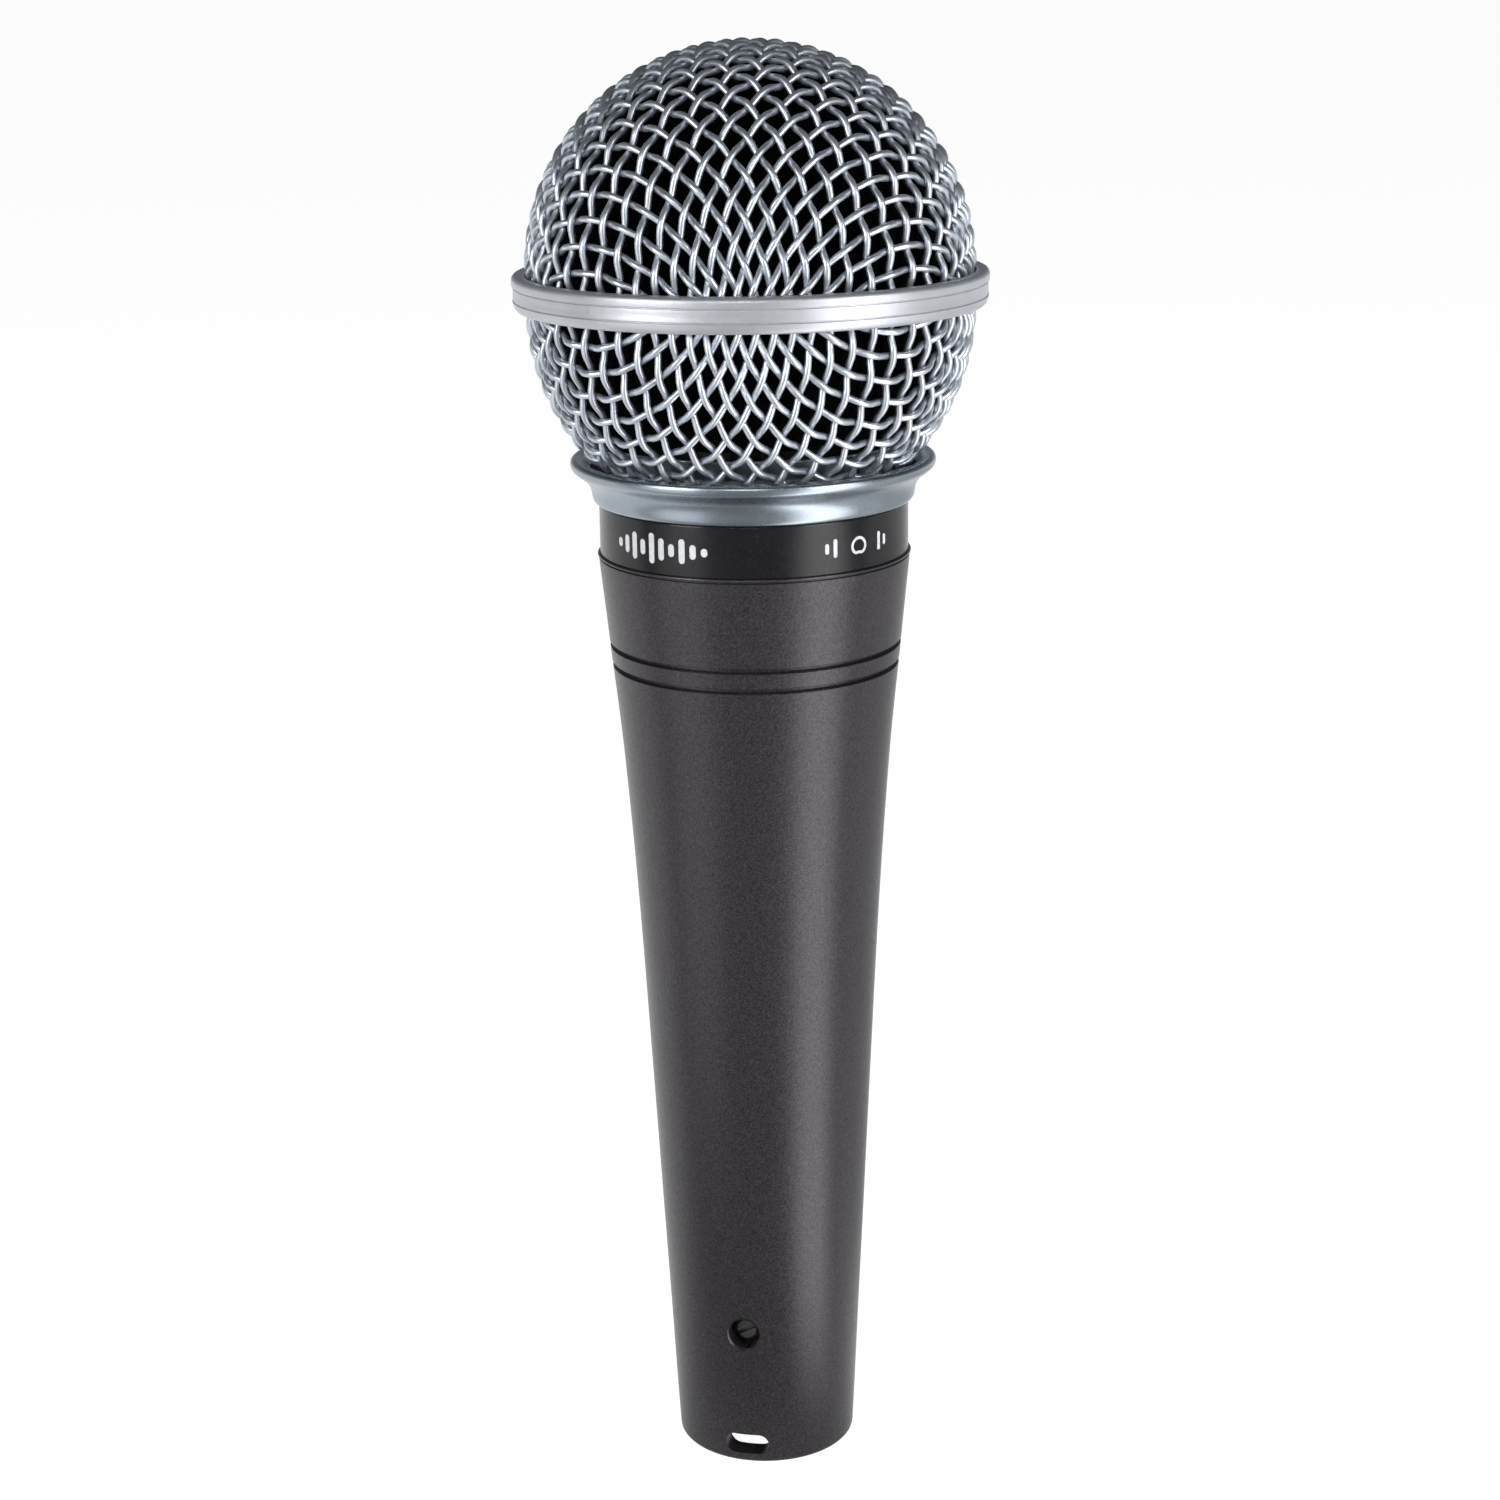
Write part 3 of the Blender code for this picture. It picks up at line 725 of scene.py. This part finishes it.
# ------------------------------------------------------------------ collar
collar_curve = curve_through(
    [
        (18.40, 121.90),
        (18.72, 121.93),
        (18.98, 122.08),
        (19.16, 122.38),
        (19.25, 122.80),
        (19.32, 123.30),
        (19.48, 123.82),
        (19.84, 124.42),
        (20.42, 125.00),
        (21.08, 125.48),
        (21.57, 125.92),
        (21.75, 126.40),
        (21.66, 126.84),
        (21.32, 127.12),
        (20.86, 127.16),
        (20.38, 126.98),
        (20.04, 126.62),
    ],
    5,
)
collar = lathe(
    "collar_shell",
    collar_curve + [(19.75, 126.2), (19.4, 125.9), (19.4, 124.3), (17.25, 124.3), (17.2, 122.15), (18.2, 121.95)],
    COLLAR_PAINTED_DARK,
)
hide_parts("grille_collar")
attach(collar, "grille")

# inner retaining ring glimpsed behind the lowest wires
retainer = lathe(
    "retainer_ring",
    rounded(
        [
            (16.7, 125.8),
            (17.2, 125.8),
            (17.02, 126.95),
            (18.95, 129.25),
            (18.75, 129.45, 0.1),
            (18.45, 129.3),
            (16.6, 127.2),
            (16.7, 125.8),
        ],
        0.15,
        3,
    ),
    PALE,
    144,
)
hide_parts("grille_retainer")
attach(retainer, "grille")

# ------------------------------------------------------------------ ring
R_LOW, R_TOP, R_OUT = bottom("grille_ring"), top("grille_ring"), reach("grille_ring")
ring_outline = [
    (26.35, R_LOW + 0.15),
    (26.55, R_LOW + 0.02, 0.1),
    (27.35, R_LOW + 0.02, 0.25),
    (27.74, R_LOW + 0.45, 0.25),
    (R_OUT - 0.10, R_LOW + 1.18, 0.06),
    (R_OUT - 0.24, R_LOW + 1.22, 0.03),
    (R_OUT - 0.24, R_LOW + 1.30, 0.03),
    (R_OUT - 0.15, R_LOW + 1.36, 0.04),
    (R_OUT - 0.19, R_LOW + 2.0, 0.8),
    (R_OUT - 0.15, R_LOW + 2.72, 0.04),
    (R_OUT - 0.24, R_LOW + 2.78, 0.03),
    (R_OUT - 0.24, R_LOW + 2.86, 0.03),
    (R_OUT - 0.02, R_LOW + 2.92, 0.06),
    (R_OUT - 0.01, R_TOP - 0.42, 0.2),
    (R_OUT - 0.28, R_TOP - 0.02, 0.25),
    (26.6, R_TOP, 0.15),
    (26.35, R_TOP - 0.2, 0.1),
    (26.75, R_TOP - 0.9, 0.1),
    (26.75, 147.3, 0.05),
    (25.0, 147.3, 0.1),
    (25.0, 146.4, 0.1),
    (26.75, 146.4, 0.05),
    (26.75, R_LOW + 0.9, 0.1),
    (26.35, R_LOW + 0.15),
]
ring_piece = lathe("ring_hoop", rounded(ring_outline, 0.1, 3), SILVER, 240)
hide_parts("grille_ring")
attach(ring_piece, "grille")

# ------------------------------------------------------------------ woven wire cloth
WIRE_R = 0.40
SWING = 0.37


def net(pa, pb, count, radius, stretch=0.0, shear=0.0):
    """Unit directions of the crossings of a cloth with thread spacings pa and pb laid over a ball:
    two principal threads on great circles, and every other crossing one spacing from its two neighbours.
    stretch opens the spacing away from the principal threads, shear closes the angle between them."""
    a, b = pa / radius, pb / radius
    near, far = math.cos(shear), math.sin(shear)
    made = np.full((2 * count + 1, 2 * count + 1, 3), np.nan)
    t = np.arange(-count, count + 1)
    made[:, count] = np.stack([np.sin(t * a) * near, np.sin(t * a) * far, np.cos(t * a)], -1)
    made[count, :] = np.stack([np.sin(t * b) * far, np.sin(t * b) * near, np.cos(t * b)], -1)
    for sx in (1, -1):
        for sy in (1, -1):
            for d in range(2, 2 * count + 1):
                i = np.arange(max(1, d - count), min(count, d - 1) + 1)
                j = d - i
                ca, cb = np.cos(a * (1 + stretch * (j * b) ** 2)), np.cos(b * (1 + stretch * (i * a) ** 2))
                one = made[count + sx * (i - 1), count + sy * j]
                two = made[count + sx * i, count + sy * (j - 1)]
                back = made[count + sx * (i - 1), count + sy * (j - 1)]
                g = (one * two).sum(-1)
                den = 1 - g * g
                den = np.where(den < 1e-9, np.nan, den)
                x, y = (ca - g * cb) / den, (cb - g * ca) / den
                left = 1 - (x * x + y * y + 2 * x * y * g)
                z = np.sqrt(np.where(left < 0, np.nan, left) / den)
                side = np.cross(one, two)
                p = x[:, None] * one + y[:, None] * two + z[:, None] * side
                q = x[:, None] * one + y[:, None] * two - z[:, None] * side
                pick = (p * back).sum(-1) < (q * back).sum(-1)
                made[count + sx * i, count + sy * j] = np.where(pick[:, None], p, q)
    return made


def laid(nodes, phi, lean_x, lean_y, flip):
    """Turns the net about the pole, leans its middle off the pole, and faces it to the viewer."""
    c, s = math.cos(phi), math.sin(phi)
    turn = np.array([[c, -s, 0], [s, c, 0], [0, 0, 1]])
    c, s = math.cos(lean_x), math.sin(lean_x)
    lx = np.array([[c, 0, s], [0, 1, 0], [-s, 0, c]])
    c, s = math.cos(lean_y), math.sin(lean_y)
    ly = np.array([[1, 0, 0], [0, c, s], [0, -s, c]])
    out = nodes @ (ly @ lx @ turn).T
    if flip:
        out = out * np.array([1, 1, -1])
    c, s = math.cos(FACING), math.sin(FACING)
    return out @ np.array([[c, -s, 0], [s, c, 0], [0, 0, 1]]).T


def cloth(name, nodes, centre, keep, sign, sides=8, steps=6, shape=None):
    """Tubes along every thread of the net, rising and falling over each other at the crossings."""
    n = nodes.shape[0]
    verts, faces = [], []
    angles = np.linspace(0, 2 * np.pi, sides, endpoint=False)
    radius = reach("grille_dome_mesh") - 0.03 - WIRE_R - SWING

    def tube(points, out):
        start = len(verts)
        tangent = np.gradient(points, axis=0)
        tangent /= np.linalg.norm(tangent, axis=1)[:, None]
        normal = out - (out * tangent).sum(1)[:, None] * tangent
        normal /= np.linalg.norm(normal, axis=1)[:, None]
        side = np.cross(tangent, normal)
        for p, u, v in zip(points, normal, side):
            for a in angles:
                verts.append((p + WIRE_R * (math.cos(a) * u + math.sin(a) * v)) * MM)
        count = len(points)
        for k in range(count - 1):
            for s in range(sides):
                t = (s + 1) % sides
                q = start + k * sides
                faces.append((q + s, q + t, q + sides + t, q + sides + s))
        faces.append(tuple(start + s for s in reversed(range(sides))))
        end = start + (count - 1) * sides
        faces.append(tuple(end + s for s in range(sides)))

    for family in (0, 1):
        for line in range(n):
            row = nodes[:, line] if family == 0 else nodes[line, :]
            valid = np.isfinite(row[:, 0])
            idx = np.where(valid)[0]
            if len(idx) < 4:
                continue
            run = row[idx[0] : idx[-1] + 1]
            if not np.isfinite(run).all():
                continue
            ext = np.concatenate([[2 * run[0] - run[1]], run, [2 * run[-1] - run[-2]]])
            points, outs = [], []
            for k in range(1, len(ext) - 2):
                p0, p1, p2, p3 = ext[k - 1 : k + 3]
                for s in range(steps):
                    t = s / steps
                    d = 0.5 * (
                        2 * p1
                        + (p2 - p0) * t
                        + (2 * p0 - 5 * p1 + 4 * p2 - p3) * t * t
                        + (3 * p1 - p0 - 3 * p2 + p3) * t**3
                    )
                    d /= np.linalg.norm(d)
                    place = idx[0] + k - 1 + t
                    wave = math.cos(math.pi * (place + line))
                    wave = math.copysign(abs(wave) ** 0.85, wave)
                    lift = SWING * wave * (1 if family == 0 else -1) * sign
                    points.append((d, radius + lift))
            kept = []
            groups = []
            for d, r in points:
                p = shape(d, r) if shape else np.array([0, 0, centre]) + d * r
                if keep(p):
                    kept.append((p, d))
                elif kept:
                    groups.append(kept)
                    kept = []
            if kept:
                groups.append(kept)
            for group in groups:
                if len(group) > 4:
                    tube(np.array([g[0] for g in group]), np.array([g[1] for g in group]))
    obj = add(name, verts, faces, WIRE)
    return obj


DOME_Z = R_TOP
CUP_Z = R_LOW + 0.05
UPPER = (2.9758, 2.644, 0.0069, 0.0), (0.7659, -0.0262, 0.0068)
LOWER = (3.0249, 2.8152, -0.028, -0.0463), (0.7162, -0.0325, 0.0800)

dome = cloth(
    "woven_dome",
    laid(net(UPPER[0][0], UPPER[0][1], 19, 26.0, *UPPER[0][2:]), *UPPER[1], False),
    DOME_Z,
    lambda p: p[2] > 147.75,
    1,
)
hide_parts("grille_dome_mesh")
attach(dome, "grille")

cup = cloth(
    "woven_cup",
    laid(net(LOWER[0][0], LOWER[0][1], 19, 26.0, *LOWER[0][2:]), *LOWER[1], True),
    CUP_Z,
    lambda p: 126.35 < p[2] < 146.0,
    1,
)
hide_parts("grille_cup_mesh")
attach(cup, "grille")

# ------------------------------------------------------------------ foam ball
F_OUT, F_IN, F_LOW, F_TOP = reach("foam_windscreen"), 21.5, bottom("foam_windscreen"), top("foam_windscreen")
DOME_C = F_TOP - F_OUT
CUP_C = 144.8


def arc(radius, centre, low_z, high_z, steps):
    a0 = math.asin(max(-1.0, min(1.0, (low_z - centre) / radius)))
    a1 = math.asin(max(-1.0, min(1.0, (high_z - centre) / radius)))
    out = []
    for k in range(steps + 1):
        a = a0 + (a1 - a0) * k / steps
        r = radius * math.cos(a)
        out.append((0.0 if r < 1e-3 else r, centre + radius * math.sin(a)))
    return out


foam_piece = lathe(
    "foam_ball",
    arc(F_OUT - 0.12, CUP_C, F_LOW, CUP_C, 20)
    + arc(F_OUT - 0.12, DOME_C, DOME_C, F_TOP - 0.12, 34)
    + arc(F_IN, DOME_C, DOME_C + F_IN, DOME_C, 24)
    + arc(F_IN, CUP_C, CUP_C, F_LOW, 14),
    FOAM,
    160,
)
for v in foam_piece.data.vertices:
    if v.co.length > 0:
        v.co += v.co.normalized() * 0.0
for v in foam_piece.data.vertices:
    d = Vector((v.co.x, v.co.y, v.co.z - 0.147))
    v.co += d.normalized() * (0.00010 * noise.noise(v.co * 900.0))
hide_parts("foam_windscreen")
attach(foam_piece, "windscreen")

# ------------------------------------------------------------------ slotted screw in the access hole
screw = rod("slotted_screw", 1.62, (0, -9.75, HOLE_Z), (0, -6.95, HOLE_Z), facets=56)
crown = rod("crown", 1.62, (0, -9.752, HOLE_Z), (0, -10.1, HOLE_Z), 1.2, facets=56)
shank = rod("shank", 1.2, (0, -7.2, HOLE_Z), (0, -2.9, HOLE_Z), facets=40)
# the screw's steel is painted dark: painted shade for its place deep in the access hole
screw.data.materials.append(plain("steel_painted_dark_as_shade", (0.10, 0.10, 0.095), 0.42, 0.9, "turned"))
cut(screw, [crown, shank], "UNION")
blade = add(
    "blade",
    [(x * MM, y * MM, z * MM) for x in (-0.24, 0.24) for y in (-11.0, -9.4) for z in (HOLE_Z - 3, HOLE_Z + 3)],
    [(0, 1, 3, 2), (4, 6, 7, 5), (0, 4, 5, 1), (2, 3, 7, 6), (0, 2, 6, 4), (1, 5, 7, 3)],
    SLOT_FINISH["plated_steel"],
    False,
)
tidy(blade)
blade.data.transform(
    Matrix.Translation((0, 0, HOLE_Z * MM)) @ Matrix.Rotation(math.radians(62), 4, "Y") @ Matrix.Translation((0, 0, -HOLE_Z * MM))
)
cut(screw, [blade])
sharpen(screw, 30)
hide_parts("connector_screw")
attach(screw, "connector_screw")

# ------------------------------------------------------------------ capsule leads
# soft leads: copies of the CAD leads in green and black, left where they lie
for side, paint in (("a", "wire_green"), ("b", "wire_black")):
    node = "lead_wire_" + side
    source = frame["nodes"][node]
    low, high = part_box(node)
    shape = source.data.copy()
    shape.transform(source.matrix_world)
    lead = bpy.data.objects.new("capsule_lead_" + side, shape)
    scene.collection.objects.link(lead)
    shape.materials.clear()
    shape.materials.append(SLOT_FINISH[paint])
    x = (low[0] + high[0]) / 2
    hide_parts(node)
    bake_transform(lead)

# ------------------------------------------------------------------ camera
AXIS_FAR = 353.6  # from the viewer to the microphone's axis, level, mm
EYE = 187.3  # height of the viewer, mm
TILT = math.radians(15.3)
ASIDE = math.atan(7.27 / 3000.0)  # the axis stands this far right of the middle of the view
ROLL = math.atan(17.0 / 1117.0)
camera = bpy.data.objects.new("camera", bpy.data.cameras.new("camera"))
scene.collection.objects.link(camera)
camera.data.sensor_width = 36.0
camera.data.lens = 36.0 * 3000.0 / 1500.0
camera.data.clip_start = 0.01
camera.data.clip_end = 60.0
where = Vector((math.sin(FACING) * AXIS_FAR, -math.cos(FACING) * AXIS_FAR, EYE)) * MM
level = Vector((-math.sin(FACING), math.cos(FACING), 0.0))
level = Matrix.Rotation(ASIDE / math.cos(TILT), 3, "Z") @ level
ahead = (level * math.cos(TILT) + Vector((0, 0, -math.sin(TILT)))).normalized()
right = ahead.cross(Vector((0, 0, 1))).normalized()
up = right.cross(ahead).normalized()
roll = Matrix.Rotation(ROLL, 3, ahead)
right, up = roll @ right, roll @ up
camera.matrix_world = Matrix(
    (
        (right.x, up.x, -ahead.x, where.x),
        (right.y, up.y, -ahead.y, where.y),
        (right.z, up.z, -ahead.z, where.z),
        (0, 0, 0, 1),
    )
)
scene.camera = camera

# ------------------------------------------------------------------ floor, world and lights
AWAY = (-math.sin(FACING), math.cos(FACING))  # level direction from the viewer to the microphone

floor_tree = Tree("floor_finish")
floor_tree.set(
    "Base Color", floor_tree.mix(floor_tree.span(floor_tree.noise(3.0, 3.0), 0.3, 0.7), (0.47, 0.47, 0.474), (0.50, 0.50, 0.504))
)
floor_tree.set("Roughness", floor_tree.span(floor_tree.noise(40.0, 3.0), 0.3, 0.7, 0.70, 0.80))
floor_tree.set("Specular IOR Level", 0.1)
split = floor_tree.node("ShaderNodeSeparateXYZ")
floor_tree.link(floor_tree.coord.outputs["Object"], split.inputs[0])


def along(direction):
    return floor_tree.sums(
        "ADD",
        floor_tree.sums("MULTIPLY", split.outputs["X"], direction[0]),
        floor_tree.sums("MULTIPLY", split.outputs["Y"], direction[1]),
    )


def rise(value, low, high, to_low=0.0, to_high=1.0):
    made = floor_tree.node("ShaderNodeMapRange", interpolation_type="SMOOTHSTEP")
    for socket, number in (("From Min", low), ("From Max", high), ("To Min", to_low), ("To Max", to_high)):
        made.inputs[socket].default_value = number
    floor_tree.link(value, made.inputs["Value"])
    return made.outputs[0]


behind, aside = along(AWAY), along((math.cos(FACING), math.sin(FACING)))
length = floor_tree.node("ShaderNodeVectorMath", operation="LENGTH")
floor_tree.link(floor_tree.coord.outputs["Object"], length.inputs[0])
far = length.outputs["Value"]
round_about = floor_tree.sums("ARCTAN2", aside, floor_tree.sums("MULTIPLY", behind, -1.0))


def pool(start, full, fade, end, near, whole, strength):
    """A sector of the white floor that throws more light up, angles from the viewer's side in degrees."""
    steps = [math.radians(v) for v in (start, full, fade, end)]
    sector = floor_tree.sums(
        "MULTIPLY", rise(round_about, steps[0], steps[1]), rise(round_about, steps[2], steps[3], 1.0, 0.0)
    )
    band_of = floor_tree.sums("MULTIPLY", rise(far, near, whole), rise(far, 0.55, 1.1, 1.0, 0.0))
    return floor_tree.sums("MULTIPLY", floor_tree.sums("MULTIPLY", sector, band_of), strength)


glow = floor_tree.sums(
    "MULTIPLY", rise(behind, FLOOR_EDGE, 0.020, FLOOR_FRONT, 1.0), rise(far, 0.15, 1.1, FLOOR_NEAR, 1.0)
)
glow = floor_tree.sums("ADD", glow, pool(22, 44, 60, 80, 0.014, 0.06, POOL_RIGHT))
glow = floor_tree.sums("ADD", glow, pool(-84, -66, -46, -28, 0.05, 0.20, POOL_LEFT))
glow = floor_tree.sums("ADD", glow, pool(84, 110, 140, 165, 0.02, 0.08, -0.40))
floor_tree.set("Emission Color", (1.0, 1.0, 1.0))
floor_tree.set("Emission Strength", floor_tree.sums("MAXIMUM", glow, 0.0))

# the floor that is looked at is plain and pale; the glow above only lights the microphone
seen = floor_tree.node("ShaderNodeBsdfPrincipled")
for socket, value in (("Base Color", (0.50, 0.50, 0.504, 1)), ("Roughness", 0.85), ("Specular IOR Level", 0.0)):
    seen.inputs[socket].default_value = value
seen.inputs["Emission Color"].default_value = (1.0, 1.0, 1.0, 1.0)
seen.inputs["Emission Strength"].default_value = 0.95
choice = floor_tree.node("ShaderNodeMixShader")
floor_tree.link(floor_tree.node("ShaderNodeLightPath").outputs["Is Camera Ray"], choice.inputs[0])
floor_tree.link(floor_tree.shader.outputs[0], choice.inputs[1])
floor_tree.link(seen.outputs[0], choice.inputs[2])
floor_tree.link(choice.outputs[0], floor_tree.out.inputs[0])
floor = add(
    "floor",
    [(-14, -14, 0), (14, -14, 0), (14, 14, 0), (-14, 14, 0)],
    [(0, 1, 2, 3)],
    floor_tree.material,
    False,
)

world = bpy.data.worlds.new("studio")
scene.world = world
world.use_nodes = True
wt = world.node_tree
wt.nodes.clear()


def world_node(kind, **values):
    made = wt.nodes.new(kind)
    for key, value in values.items():
        setattr(made, key, value)
    return made


w_out = world_node("ShaderNodeOutputWorld")
w_back = world_node("ShaderNodeBackground")
w_coord = world_node("ShaderNodeTexCoord")
w_split = world_node("ShaderNodeSeparateXYZ")
w_ramp = world_node("ShaderNodeValToRGB")
w_dot = world_node("ShaderNodeVectorMath", operation="DOT_PRODUCT")
w_side = world_node("ShaderNodeMapRange", interpolation_type="SMOOTHSTEP")
w_dot.inputs[1].default_value = (AWAY[0], AWAY[1], 0.0)
wt.links.new(w_coord.outputs["Generated"], w_split.inputs[0])
wt.links.new(w_coord.outputs["Generated"], w_dot.inputs[0])
wt.links.new(w_split.outputs["Z"], w_ramp.inputs[0])
wt.links.new(w_dot.outputs["Value"], w_side.inputs["Value"])
for socket, value in (("From Min", 0.1), ("From Max", 0.9), ("To Min", WORLD_FRONT), ("To Max", WORLD_BACK)):
    w_side.inputs[socket].default_value = value
wt.links.new(w_ramp.outputs[0], w_back.inputs["Color"])
wt.links.new(w_side.outputs[0], w_back.inputs["Strength"])
w_seen = world_node("ShaderNodeBackground")
w_seen.inputs["Color"].default_value = (0.99, 0.99, 0.995, 1)
w_choice = world_node("ShaderNodeMixShader")
wt.links.new(world_node("ShaderNodeLightPath").outputs["Is Camera Ray"], w_choice.inputs[0])
wt.links.new(w_back.outputs[0], w_choice.inputs[1])
wt.links.new(w_seen.outputs[0], w_choice.inputs[2])
wt.links.new(w_choice.outputs[0], w_out.inputs[0])
ramp = w_ramp.color_ramp
ramp.elements[0].position, ramp.elements[0].color = 0.0, (0.90, 0.97, 1.07, 1)
ramp.elements[1].position, ramp.elements[1].color = 0.7, (0.02, 0.022, 0.026, 1)
middle = ramp.elements.new(0.3)
middle.color = (0.24, 0.265, 0.30, 1)


def softbox(name, azimuth, height, distance, size, power, aim=120.0, tint=(1, 1, 1)):
    """A rectangular light, azimuth counted from the viewer's side, positive to the viewer's right."""
    light = bpy.data.lights.new(name, "AREA")
    light.shape = "RECTANGLE"
    light.size, light.size_y = size
    light.energy = power
    light.color = tint
    obj = bpy.data.objects.new(name, light)
    scene.collection.objects.link(obj)
    a = FACING + math.radians(azimuth)
    at = Vector((math.sin(a) * distance, -math.cos(a) * distance, height))
    obj.location = at
    obj.rotation_euler = (Vector((0, 0, aim * MM)) - at).to_track_quat("-Z", "Y").to_euler()
    return obj


softbox("key_left", -50, 0.31, 0.95, (0.38, 0.46), 4.8)
softbox("key_right", 50, 0.27, 0.95, (0.46, 0.50), 4.7)
softbox("front", -6, 0.55, 1.1, (0.50, 0.25), 2.2)
